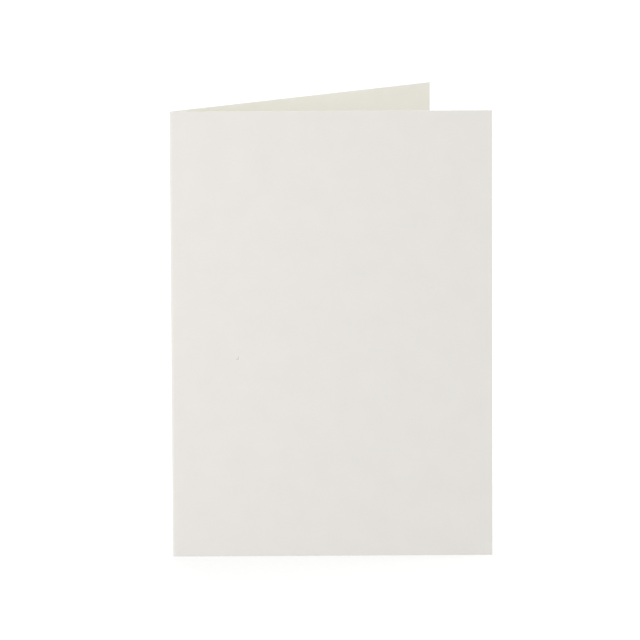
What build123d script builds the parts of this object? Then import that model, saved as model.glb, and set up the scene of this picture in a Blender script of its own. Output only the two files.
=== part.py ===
from build123d import *
import math
import os

# A blank card, standing open on its base edges. It is one sheet, cut to size, creased down its
# middle and folded along the crease, with the cover side outwards. Z is up. The fold is at the
# left, the front panel runs along X with its cover side towards -Y, and the back panel turns
# away behind it. The origin is under the middle of the whole card, at its base.
# Sizes are in millimetres and angles in degrees.

# The sheet, before it is folded
sheet_width = 210.0
sheet_height = 148.0
sheet_thickness = 0.38

# How far the two panels stand open
opening_angle = 35.2

# The creasing rule presses the cover side into a channel, which is wider than the rule by this
# many thicknesses of the sheet
rule_width = 0.7
channel_allowance = 1.5

# The groove that the rule leaves round the outside of the fold, with a sloping flank at each side
groove_depth = 0.05
flank_width = 0.15
flank_rounding = 0.2

# The bead that the channel leaves along the inside of the fold
bead_width = 0.4
bead_height = 0.12
bead_root_rounding = 0.06

# The guillotine's knife turns every cut edge over a little
cut_rounding = 0.05

os.makedirs("parts", exist_ok=True)

# The crease makes the whole turn between the panels, and the middle of its thickness keeps the
# length that it had in the flat sheet. The bend is about the Z axis of the section's plane.
turn = 180 - opening_angle
crease_width = rule_width + channel_allowance * sheet_thickness
middle_radius = crease_width / math.radians(turn)
cover_radius = middle_radius + sheet_thickness / 2
inside_radius = middle_radius - sheet_thickness / 2
groove_radius = cover_radius - groove_depth
panel_run = (sheet_width - crease_width) / 2

# Seen from the bend, the card opens along to_mouth, and the panels mirror each other about it
to_mouth = Vector(1, 0).rotate(Axis.Z, opening_angle / 2)
to_back_panel = to_mouth.rotate(Axis.Z, 90)
bead_half_turn = math.degrees(bead_width / 2 / inside_radius)
bead_crown = to_mouth * (bead_height - inside_radius)
bead_foot = (to_mouth * -inside_radius).rotate(Axis.Z, bead_half_turn)

# The section of the folded sheet: the front half is drawn round from the front panel's cover
# side to its cut edge, and the back half mirrors it
with BuildSketch() as section:
    with BuildLine():
        cover_side = Line((panel_run, -cover_radius), (flank_width, -cover_radius))
        flank = Line(cover_side @ 1, (0, -groove_radius))
        spine = CenterArc((0, 0), groove_radius, -90, -turn / 2)
        fold_middle = Line(spine @ 1, bead_crown)
        bead = TangentArc(bead_crown, bead_foot, tangent=-to_back_panel)
        inside_bend = CenterArc((0, 0), inside_radius, -90, bead_half_turn - turn / 2)
        inner_side = Line(inside_bend @ 0, (panel_run, -inside_radius))
        cut_edge = Line(inner_side @ 1, cover_side @ 0)
    make_face()
    for corner, rounding in (
        (flank @ 0, flank_rounding),
        (flank @ 1, flank_rounding),
        (bead_foot, bead_root_rounding),
        (cut_edge @ 0, cut_rounding),
        (cut_edge @ 1, cut_rounding),
    ):
        fillet(section.vertices().sort_by_distance(corner)[0], rounding)
    mirror(about=Plane(origin=(0, 0, 0), x_dir=to_mouth, z_dir=to_back_panel))

middle = section.sketch.bounding_box().center()

with BuildPart() as folded_card:
    with BuildSketch(Plane(origin=-middle)):
        add(section.sketch)
    extrude(amount=sheet_height)
    rims = folded_card.faces().filter_by(Axis.Z).edges()
    fillet(rims, cut_rounding)

folded_card.part.label = "folded_card"
export_step(folded_card.part, "parts/folded_card.step")
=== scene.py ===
import math

import bpy
import numpy as np
from mathutils import Matrix, Vector


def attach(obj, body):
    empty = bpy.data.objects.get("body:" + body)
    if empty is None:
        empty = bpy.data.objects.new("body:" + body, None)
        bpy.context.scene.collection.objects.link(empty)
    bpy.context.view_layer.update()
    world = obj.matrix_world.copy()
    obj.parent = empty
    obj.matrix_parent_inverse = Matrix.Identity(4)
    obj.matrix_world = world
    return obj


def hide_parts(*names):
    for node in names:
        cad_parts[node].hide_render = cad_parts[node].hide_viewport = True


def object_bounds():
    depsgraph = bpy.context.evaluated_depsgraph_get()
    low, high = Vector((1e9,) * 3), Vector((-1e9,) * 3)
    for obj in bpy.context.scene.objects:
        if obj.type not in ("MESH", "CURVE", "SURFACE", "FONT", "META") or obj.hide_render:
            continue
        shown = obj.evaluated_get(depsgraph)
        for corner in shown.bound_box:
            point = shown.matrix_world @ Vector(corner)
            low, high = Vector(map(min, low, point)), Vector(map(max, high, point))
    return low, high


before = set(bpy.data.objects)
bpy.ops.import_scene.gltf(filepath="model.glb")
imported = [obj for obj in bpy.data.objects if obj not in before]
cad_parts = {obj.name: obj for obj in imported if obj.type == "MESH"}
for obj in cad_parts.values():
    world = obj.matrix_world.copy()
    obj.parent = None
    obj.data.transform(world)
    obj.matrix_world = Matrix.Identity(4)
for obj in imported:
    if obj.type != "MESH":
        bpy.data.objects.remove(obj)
cadLow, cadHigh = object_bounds()
mm = 0.001

# the folded card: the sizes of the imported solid, and what real card adds to them
card = {
    "thickness": 0.38 * mm,
    "openingAngle": 35.2,         # degrees between the two panels
    "creaseWidth": 1.27 * mm,     # the pressed band, along the middle of the thickness
    "grooveDepth": 0.05 * mm,     # outside the fold
    "flankWidth": 0.15 * mm,      # from the groove up to each panel
    "beadWidth": 0.40 * mm,       # inside the fold
    "beadRoot": 1.25,             # how much wider than that its foot runs out
    "beadHeight": 0.12 * mm,
    "cutRounding": 0.05 * mm,     # how far the knife turned the edges over
    "endTightness": 0.85,         # the corners' rounding at the two ends, as a share of that
    "panelStep": 1.6 * mm,        # mesh size across a panel
    "heightStep": 1.0 * mm,       # mesh size up the card
    "creaseStep": 0.035 * mm,     # mesh size round the fold
    "cornerLines": 5,             # mesh lines round a turned-over corner
    "cutStep": 0.3,               # the first mesh step after it, as a share of its rounding
    "stepGrowth": 1.7,            # and how much longer than the last each further step is
    "waviness": 0.10 * mm,        # how far a panel wanders from flat, always inwards
    "waveLengths": (60 * mm, 90 * mm, 120 * mm, 150 * mm),
    "calmReach": 30 * mm,         # the fold keeps the panels flat up to about here
    "fibreRelief": 0.020 * mm,    # between the stretched fibres round the fold
    "innerRelief": 0.5,           # the same inside the fold, as a share of that
    "fibrePitches": (0.17 * mm, 0.23 * mm, 0.31 * mm),
    "fibreSway": 0.6,             # in radians of a pitch, to each side
    "swayLengths": (3 * mm, 7 * mm),  # the shortest and the longest
    "seed": 5,
}

opening = math.radians(card["openingAngle"])
turn = math.pi - opening
middleRadius = card["creaseWidth"] / turn
coverRadius = middleRadius + card["thickness"] / 2
insideRadius = middleRadius - card["thickness"] / 2
bendX = cadLow.x + coverRadius - card["grooveDepth"]
bendY = cadLow.y + coverRadius
halfCrease = card["creaseWidth"] / 2
halfSheet = halfCrease + cadHigh.x - bendX     # flat, from the fold's middle to a cut edge
sheetHeight = cadHigh.z


# 0 below 0, 1 above 1, and three squares less two cubes between
def smoothStep(x):
    x = np.clip(x, 0, 1)
    return x * x * (3 - 2 * x)


# Distances from a cut at which the mesh has a line: a few round the turned-over corner, then
# steps that each grow by the same share up to an even step, which carries on to reach.
def linesFromCut(reach, step):
    r = card["cutRounding"]
    first, growth = card["cutStep"] * r, card["stepGrowth"]
    corner = r * (1 - np.sin(np.linspace(math.pi / 2, 0, card["cornerLines"])))
    grown = r + np.cumsum(first * growth ** np.arange(math.log(step / first, growth)))
    even = np.linspace(grown[-1], reach, 2 + int((reach - grown[-1]) / step))[1:]
    return np.concatenate([corner, grown, even])


# how far a face has drawn in at a distance from a cut: a quarter circle
def drawnIn(fromCut):
    r = card["cutRounding"]
    left = np.clip(r - fromCut, 0, r)
    return r - np.sqrt(r * r - left * left)


# How far a panel lies inwards of its flat place: the mean of a few sine waves in random
# directions, between nothing and the waviness, rising smoothly from the fold.
def inwardWave(across, up):
    rng = np.random.default_rng(card["seed"])
    wave = np.zeros(np.broadcast(across, up).shape)
    for waveLength in card["waveLengths"]:
        heading, phase = rng.uniform(0, math.tau, 2)
        along = across * math.cos(heading) + up * math.sin(heading)
        wave += (1 + np.sin(math.tau * along / waveLength + phase)) / 2
    rise = smoothStep(np.abs(across) / card["calmReach"])
    return card["waviness"] * rise * wave / len(card["waveLengths"])


# How deep the stretched fibres round the fold leave the surface below its smooth shape: the mean
# of sines across the fold that sway as they run up the card, strongest at the fold's middle and
# gone where the panels begin.
def fibreRelief(across, up):
    rng = np.random.default_rng(card["seed"] + 1)
    relief = np.zeros(np.broadcast(across, up).shape)
    for pitch in card["fibrePitches"]:
        swayLength, swayPhase, phase = rng.uniform(*card["swayLengths"]), *rng.uniform(0, math.tau, 2)
        sway = card["fibreSway"] * np.sin(math.tau * up / swayLength + swayPhase)
        relief += (1 + np.sin(math.tau * across / pitch + sway + phase)) / 2
    mean = relief / len(card["fibrePitches"])
    return card["fibreRelief"] * mean * (1 - smoothStep(np.abs(across) / halfCrease))


# Where a point of the flat sheet lies once it is folded. across is its distance from the fold's
# middle, positive on the front panel, and depth is its distance outwards from the middle of the
# thickness. The outward normal turns in step with the distance through the crease, and beyond
# the crease each panel runs straight on.
def foldedPlace(across, depth, up):
    angle = -math.pi / 2 - turn * np.clip(0.5 - across / card["creaseWidth"], 0, 1)
    run = np.maximum(np.abs(across) - halfCrease, 0)
    radius = middleRadius + depth
    x = bendX + radius * np.cos(angle) + run * np.where(across > 0, 1, math.cos(opening))
    y = bendY + radius * np.sin(angle) + run * np.where(across > 0, 0, math.sin(opening))
    return np.stack([x, y, up], axis=-1)


# The whole sheet as one closed surface. Its outline is a loop: over the cover side from the
# front panel's cut edge to the back panel's, then back along the inner side. The loop is carried
# up the card with its two sides a thickness apart, less the groove and plus the bead, and is
# drawn in by a quarter circle at every cut. Quads between the two sides close both ends.
def buildCard():
    r = card["cutRounding"]
    foldReach = halfCrease + 2 * card["flankWidth"]     # fine lines, to a flank past the flank
    panel = halfSheet - linesFromCut(halfSheet - foldReach, card["panelStep"])
    crease = np.arange(foldReach, 0, -card["creaseStep"])[1:]
    half = np.concatenate([panel, crease])
    across = np.concatenate([half, [0], -half[::-1]])
    lines = len(across)

    rise = linesFromCut(sheetHeight / 2, card["heightStep"])
    up = np.concatenate([rise, sheetHeight - rise[-2::-1]])[:, None]

    fold = 1 - smoothStep((np.abs(across) - halfCrease) / card["flankWidth"])
    groove = card["grooveDepth"] * fold
    beadReach = card["beadRoot"] * card["beadWidth"] / 2 * middleRadius / insideRadius
    bead = card["beadHeight"] * (1 - smoothStep(np.abs(across) / beadReach))

    fromCut = halfSheet - np.abs(across)
    drawnAtEnd = card["endTightness"] * drawnIn(np.minimum(up, sheetHeight - up))
    drawn = drawnAtEnd + drawnIn(fromCut) * (1 - drawnAtEnd / r)
    relief = fibreRelief(across, up)
    coverDepth = card["thickness"] / 2 - groove - drawn - relief
    innerDepth = drawn - card["thickness"] / 2 - bead + relief * card["innerRelief"]
    acrossNow = across - np.sign(across) * drawnAtEnd * np.clip(1 - fromCut / r, 0, 1)

    depth = np.concatenate([coverDepth, innerDepth[:, ::-1]], axis=1)
    alongLoop = np.concatenate([acrossNow, acrossNow[:, ::-1]], axis=1)
    height = np.broadcast_to(up, depth.shape)
    place = foldedPlace(alongLoop, depth - inwardWave(alongLoop, height), height)

    index = np.arange(depth.size).reshape(depth.shape)
    beside = np.roll(index, -1, axis=1)
    walls = np.stack([index[:-1], index[1:], beside[1:], beside[:-1]], axis=-1).reshape(-1, 4)
    cover, inner = index[:, :lines], index[:, :lines - 1:-1]
    bottom = np.stack([cover[0, :-1], cover[0, 1:], inner[0, 1:], inner[0, :-1]], axis=-1)
    top = np.stack([cover[-1, :-1], inner[-1, :-1], inner[-1, 1:], cover[-1, 1:]], axis=-1)
    faces = np.concatenate([walls, bottom, top])

    mesh = bpy.data.meshes.new("card_sheet")
    mesh.from_pydata(place.reshape(-1, 3).tolist(), [], faces.tolist())
    mesh.shade_smooth()

    # what the paper's pattern follows: the place on the flat sheet, how much of a point is cut
    # edge, how much is fold, and how much lies on the inner side
    flatPlace = np.stack([alongLoop, height, depth], axis=-1)
    onMesh = mesh.attributes.new("flatPlace", "FLOAT_VECTOR", "POINT")
    onMesh.data.foreach_set("vector", flatPlace.ravel())
    shares = {
        "cutShare": np.concatenate([drawn, drawn[:, ::-1]], axis=1) / r,
        "foldShare": 1 - smoothStep((np.abs(alongLoop) - halfCrease) / card["flankWidth"]),
        "innerShare": np.repeat([[0.0, 1.0]], len(up), axis=0).repeat(lines, axis=1),
    }
    for name, share in shares.items():
        mesh.attributes.new(name, "FLOAT", "POINT").data.foreach_set("value", share.ravel())

    sheet = bpy.data.objects.new("card_sheet", mesh)
    bpy.context.scene.collection.objects.link(sheet)
    print("card: folded", lines, "lines by", len(up), "rows,", len(mesh.polygons), "faces")
    return sheet


# the card's own stuff: smooth, uncoated, ivory
paper = {
    "colour": (0.800, 0.782, 0.742),
    "formationSize": 9 * mm, "formationShade": 0.048,     # cloudiness of the sheet
    "toothSize": 0.45 * mm, "toothShade": 0.032,          # grain of the surface
    "fibreLength": 2.2 * mm, "fibreWidth": 0.16 * mm, "fibreShade": 0.009,
    "fibreHeadings": (14, 68, 131),                       # degrees from across the sheet
    "fibreBend": 0.3,                                     # how much their noise is distorted
    "fibreEdge": 0.07,                                    # where one ends, in the noise's value
    "fibreMean": 0.35,                                    # what leaves the paper's tone alone
    "relief": 0.004 * mm,                                 # height of the tooth
    "fibreHeight": 0.5,                                   # and of the fibres, as a share of that
    "speckSpacing": 9 * mm, "speckSize": 0.11 * mm,       # tiny impurities, here and there
    "speckShare": 0.10, "speckShade": 0.22,
    # the one dark sliver in the front cover, a hooked fibre through a few points: how far each is
    # from the fold's middle, how far up, and how wide the fibre is there
    "sliver": (
        (21.90 * mm, 66.93 * mm, 0.09 * mm),
        (21.92 * mm, 66.45 * mm, 0.13 * mm),
        (21.91 * mm, 66.03 * mm, 0.17 * mm),
        (21.76 * mm, 65.94 * mm, 0.14 * mm),
        (21.10 * mm, 66.00 * mm, 0.09 * mm),
    ),
    "sliverRaggedness": 0.15 * mm,                        # how far the tooth shifts its outline
    "sliverFade": 0.03 * mm,                              # from dark to clear
    "sliverColour": (0.42, 0.40, 0.385),
    "plySize": 0.045 * mm, "plyLength": 2 * mm, "plyShade": 0.24,     # layers in a cut edge
    "foldShade": 0.03,                                    # how much lighter the fold's fibres are
    "toothRange": (0.3, 0.7),                             # most of the tooth's noise, and the
    "roughness": (0.78, 0.92),                            # roughness at its two ends
    "specular": 0.3,
}


# adds a node: its own properties by name, and its inputs by name or number, where a socket is
# linked and anything else is a value; gives back its first output
def addNode(tree, kind, inputs=None, **settings):
    node = tree.nodes.new("ShaderNode" + kind)
    for name, value in settings.items():
        setattr(node, name, value)
    for name, value in (inputs or {}).items():
        if isinstance(value, bpy.types.NodeSocket):
            tree.links.new(value, node.inputs[name])
        else:
            node.inputs[name].default_value = value
    return node.outputs[0] if node.outputs else None


# one step of arithmetic
def calculate(tree, operation, *values):
    return addNode(tree, "Math", dict(enumerate(values)), operation=operation)


# the same with vectors, of which a length and a dot product give a number
def calculateVector(tree, operation, *values):
    node = addNode(tree, "VectorMath", dict(enumerate(values)), operation=operation).node
    return node.outputs["Value" if operation in ("LENGTH", "DOT_PRODUCT") else "Vector"]


# value from low..high to 0..1, smoothly
def ramp(tree, value, low, high, start=0.0, end=1.0):
    return addNode(tree, "MapRange", {0: value, 1: low, 2: high, 3: start, 4: end},
                   interpolation_type="SMOOTHSTEP")


# noise whose grain is as long as the sizes say, at a pattern place in metres
def grain(tree, place, sizes, detail=2.0):
    stretched = addNode(tree, "Mapping", {"Vector": place, "Scale": sizes}, vector_type="TEXTURE")
    return addNode(tree, "TexNoise", {"Vector": stretched, "Scale": 1.0, "Detail": detail})


# a value, plus so much of how far a pattern lies from its middle
def vary(tree, value, pattern, amount, middle=0.5):
    fromMiddle = calculate(tree, "SUBTRACT", pattern, middle)
    return calculate(tree, "MULTIPLY_ADD", fromMiddle, amount, value)


# Fibres in layers, one heading each: the ridges of a noise that is drawn out along the heading,
# 1 on a fibre and 0 between, and the lightest of the layers at each point.
def fibreLayers(tree, place):
    layers = 0.0
    for heading in paper["fibreHeadings"]:
        drawnOut = addNode(tree, "Mapping", {
            "Vector": place,
            "Rotation": (0, 0, math.radians(heading)),
            "Scale": (paper["fibreLength"], paper["fibreWidth"], paper["fibreWidth"]),
        }, vector_type="TEXTURE")
        noise = addNode(tree, "TexNoise", {
            "Vector": drawnOut,
            "Scale": 1.0,
            "Detail": 0.0,
            "Distortion": paper["fibreBend"],
        })
        fromRidge = calculate(tree, "ABSOLUTE", calculate(tree, "SUBTRACT", noise, 0.5))
        layer = ramp(tree, fromRidge, 0.0, paper["fibreEdge"], 1.0, 0.0)
        layers = calculate(tree, "MAXIMUM", layers, layer)
    return layers


# Specks: in a few of the cells of a Voronoi pattern, a dot about the cell's own point.
def specks(tree, place):
    spacing = paper["speckSpacing"]
    cells = addNode(tree, "Mapping", {"Vector": place, "Scale": (spacing,) * 3},
                    vector_type="TEXTURE")
    toPoint = addNode(tree, "TexVoronoi", {"Vector": cells, "Scale": 1.0})
    chance = addNode(tree, "SeparateColor", {0: toPoint.node.outputs["Color"]})
    dot = ramp(tree, toPoint, 0.0, paper["speckSize"] / spacing, 1.0, 0.0)
    chosen = calculate(tree, "LESS_THAN", chance, paper["speckShare"])
    return calculate(tree, "MULTIPLY", dot, chosen)


# The dark sliver: a place's distance from each straight stretch between two of the points, less
# half the fibre's width there, is below 0 inside the fibre, and the least of them counts. The
# tooth roughens the outline, and the inner side has none.
def sliver(tree, place, tooth, innerShare):
    nearest = 1.0     # metres, which is far from all of them
    for (*start, startWidth), (*end, endWidth) in zip(paper["sliver"], paper["sliver"][1:]):
        stretch = Vector((*end, 0)) - Vector((*start, 0))
        fromStart = calculateVector(tree, "SUBTRACT", place, (*start, card["thickness"] / 2))
        along = calculateVector(tree, "DOT_PRODUCT", fromStart, stretch / stretch.length_squared)
        along = addNode(tree, "Clamp", {0: along})
        fromLine = calculateVector(tree, "MULTIPLY_ADD", along, -stretch, fromStart)
        distance = calculateVector(tree, "LENGTH", fromLine)
        widening = (endWidth - startWidth) / 2
        halfWidth = calculate(tree, "MULTIPLY_ADD", along, widening, startWidth / 2)
        beyond = calculate(tree, "SUBTRACT", distance, halfWidth)
        nearest = calculate(tree, "MINIMUM", nearest, beyond)
    ragged = vary(tree, nearest, tooth, paper["sliverRaggedness"])
    halfFade = paper["sliverFade"] / 2
    inside = ramp(tree, ragged, -halfFade, halfFade, 1.0, 0.0)
    return calculate(tree, "MULTIPLY", inside, calculate(tree, "SUBTRACT", 1.0, innerShare))


# Ivory card: the colour times one more or less the shades of its formation, tooth, fibres, specks,
# plies and fold.
def ivoryCard():
    material = bpy.data.materials.new("ivory_card")
    material.use_nodes = True
    tree = material.node_tree
    tree.nodes.clear()

    place = addNode(tree, "Attribute", attribute_name="flatPlace").node.outputs["Vector"]
    cutShare, foldShare, innerShare = (
        addNode(tree, "Attribute", attribute_name=name).node.outputs["Fac"]
        for name in ("cutShare", "foldShare", "innerShare"))

    formation = grain(tree, place, (paper["formationSize"],) * 3, detail=3.0)
    tooth = grain(tree, place, (paper["toothSize"],) * 3)
    fibres = fibreLayers(tree, place)
    plies = grain(tree, place, (paper["plyLength"], paper["plyLength"], paper["plySize"]))

    shade = vary(tree, 1.0, formation, paper["formationShade"])
    shade = vary(tree, shade, tooth, paper["toothShade"])
    shade = vary(tree, shade, fibres, paper["fibreShade"], paper["fibreMean"])
    shade = calculate(tree, "MULTIPLY_ADD", specks(tree, place), -paper["speckShade"], shade)
    foldTone = calculate(tree, "MULTIPLY", fibres, paper["foldShade"])
    shade = calculate(tree, "MULTIPLY_ADD", foldShare, foldTone, shade)
    cutTone = vary(tree, 0.0, plies, paper["plyShade"])
    shade = calculate(tree, "MULTIPLY_ADD", cutShare, cutTone, shade)

    colour = addNode(tree, "VectorMath", {0: paper["colour"], "Scale": shade}, operation="SCALE")
    dark = sliver(tree, place, tooth, innerShare)
    colour = addNode(tree, "Mix", {"Factor": dark, 6: colour, 7: (*paper["sliverColour"], 1)},
                     data_type="RGBA").node.outputs[2]

    fromTooth = (tooth, *paper["toothRange"], *paper["roughness"])
    rough = addNode(tree, "MapRange", dict(enumerate(fromTooth)))
    raised = calculate(tree, "MULTIPLY_ADD", fibres, paper["fibreHeight"], tooth)
    bump = addNode(tree, "Bump", {"Strength": 1.0, "Distance": paper["relief"], "Height": raised})
    shader = addNode(tree, "BsdfPrincipled", {
        "Base Color": colour,
        "Roughness": rough,
        "Specular IOR Level": paper["specular"],
        "Normal": bump,
    })
    addNode(tree, "OutputMaterial", {"Surface": shader})
    print("paper: ivory card,", len(tree.nodes), "nodes")
    return material


# the floor: a lit table, white to the camera wherever the card casts no shadow on it
floor = {
    "width": 8.0,
    "glow": 0.63,             # what the camera sees of it in the deepest shadow
    "shadowShare": 0.36,      # and what it adds for each unit of light on it
    "glowOnCard": 0.31,       # the same two, for the light that it throws on the card
    "shareOnCard": 0.20,
}


# 1 for rays that look for the background: straight from the camera, mirrored or through glass
def backgroundRays(tree):
    rays = addNode(tree, "LightPath").node.outputs
    return calculate(tree, "MAXIMUM", rays["Is Camera Ray"],
                     calculate(tree, "MAXIMUM", rays["Is Glossy Ray"], rays["Is Transmission Ray"]))


# A flat square about the origin. It glows and scatters light, with one pair of values for the
# rays that look for the background and one for the light that it throws on the card.
def layFloor():
    side = np.array([-0.5, 0.5]) * floor["width"]
    x, y = np.meshgrid(side, side)
    place = np.stack([x, y, np.zeros_like(x)], axis=-1).reshape(-1, 3)
    mesh = bpy.data.meshes.new("studio_floor")
    mesh.from_pydata(place.tolist(), [], [(0, 1, 3, 2)])
    material = bpy.data.materials.new("studio_floor")
    material.use_nodes = True
    tree = material.node_tree
    tree.nodes.clear()
    thrown, seen = (
        addNode(tree, "AddShader", {
            0: addNode(tree, "Emission", {"Color": (1, 1, 1, 1), "Strength": floor[glow]}),
            1: addNode(tree, "BsdfDiffuse", {"Color": (floor[share],) * 3 + (1,)}),
        }) for glow, share in (("glowOnCard", "shareOnCard"), ("glow", "shadowShare")))
    shader = addNode(tree, "MixShader", {"Fac": backgroundRays(tree), 1: thrown, 2: seen})
    addNode(tree, "OutputMaterial", {"Surface": shader})
    mesh.materials.append(material)
    ground = bpy.data.objects.new("studio_floor", mesh)
    bpy.context.scene.collection.objects.link(ground)
    print("floor: laid")


# Soft studio light: a pale room that lights from all round, and lamps that all face the card's
# middle. The key stands at the front left, one at the right shines into the mouth, one above picks
# out the top edges, and one lights the back cover.
roomLight = (0.885, 0.891, 0.905)
lamps = {
    "key": {"place": (-0.42, -0.58, 0.13), "size": 0.3, "power": 1.80, "colour": (1.0, 0.965, 0.955)},
    "mouth": {"place": (1.10, 0.15, 0.50), "size": 0.8, "power": 5.7, "colour": (0.98, 1.0, 0.76)},
    "above": {"place": (0.15, 0.50, 1.15), "size": 0.7, "power": 1.5, "colour": (1.0, 1.0, 1.0)},
    "rear": {"place": (-0.10, 1.35, 0.60), "size": 1.0, "power": 6.0, "colour": (1.0, 0.98, 0.93)},
}


def lightRoom():
    world = bpy.data.worlds.new("pale_room")
    bpy.context.scene.world = world
    world.use_nodes = True
    tree = world.node_tree
    tree.nodes.clear()
    around = addNode(tree, "Background", {"Color": (*roomLight, 1), "Strength": 1.0})
    white = addNode(tree, "Background", {"Color": (1, 1, 1, 1), "Strength": 1.0})
    shader = addNode(tree, "MixShader", {"Fac": backgroundRays(tree), 1: around, 2: white})
    addNode(tree, "OutputWorld", {"Surface": shader})

    middle = Vector((0, 0, sheetHeight / 2))
    for name, own in lamps.items():
        light = bpy.data.lights.new(name, "AREA")
        light.shape, light.size = "SQUARE", own["size"]
        light.energy, light.color = own["power"], own["colour"]
        lamp = bpy.data.objects.new(name, light)
        lamp.location = own["place"]
        lamp.rotation_euler = (middle - lamp.location).to_track_quat("-Z", "Y").to_euler()
        lamp.visible_camera = False
        bpy.context.scene.collection.objects.link(lamp)
    print("light:", len(lamps), "lamps")


# the camera: far away with a long lens, looking a little down and straight at the front cover
view = {
    "aim": (-3.83 * mm, -30.70 * mm, 78.87 * mm),     # a point on the front cover
    "distance": 2512 * mm,
    "lens": 432, "sensor": 36,                        # both in millimetres, as Blender has them
    "yaw": -0.127, "pitch": 10.513, "roll": -0.275,   # degrees, to the left, down and clockwise
    "farthest": 20.0,                                 # metres, past the floor's far corners
}


# It is turned by the roll, then the pitch, then the yaw, and stands back from its aim.
def placeCamera():
    lens = bpy.data.cameras.new("camera")
    lens.lens, lens.sensor_width = view["lens"], view["sensor"]
    lens.clip_end = view["farthest"]
    yaw, pitch, roll = (math.radians(view[name]) for name in ("yaw", "pitch", "roll"))
    turned = Matrix.Rotation(yaw, 3, "Z")
    turned = turned @ Matrix.Rotation(math.pi / 2 - pitch, 3, "X") @ Matrix.Rotation(roll, 3, "Z")
    camera = bpy.data.objects.new("camera", lens)
    camera.location = Vector(view["aim"]) + turned @ Vector((0, 0, view["distance"]))
    camera.rotation_euler = turned.to_euler()
    bpy.context.scene.collection.objects.link(camera)
    bpy.context.scene.camera = camera
    print("camera: placed")


sheet = buildCard()
sheet.data.materials.append(ivoryCard())
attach(sheet, "root")
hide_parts("folded_card")
layFloor()
lightRoom()
placeCamera()
bpy.context.scene.view_settings.view_transform = "Standard"
